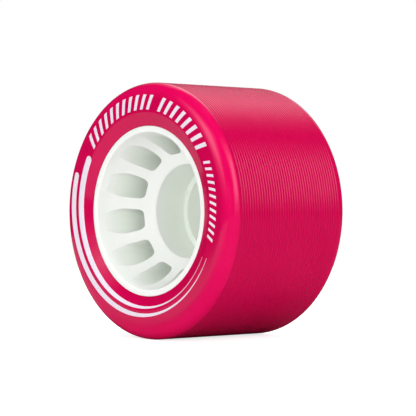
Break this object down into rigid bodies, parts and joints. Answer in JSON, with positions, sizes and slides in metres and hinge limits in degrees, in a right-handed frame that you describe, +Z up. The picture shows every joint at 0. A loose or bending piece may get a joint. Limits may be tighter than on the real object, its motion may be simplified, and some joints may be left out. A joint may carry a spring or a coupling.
{
  "type": "roller skate wheel",
  "caption": "Roller skate wheel: a cast urethane tyre with a finely grooved tread on a moulded hub with a deep fluted cup and bearing seats on both sides.",
  "frame": {"origin": "the wheel's centre, on the axle line half-way between the two side faces", "axes": "+Y along the axle from the cup side to the back, +Z up, +X completes the right-handed frame"},
  "size_m": [0.059, 0.037, 0.059],
  "materials": {
    "hub": "white moulded nylon with a satin skin",
    "tyre": "solid red cast urethane, glossy on the shoulders and finely grooved on the tread"
  },
  "bodies": {
    "root": {"hub": "hub", "tyre": "tyre"}
  },
  "joints": []
}
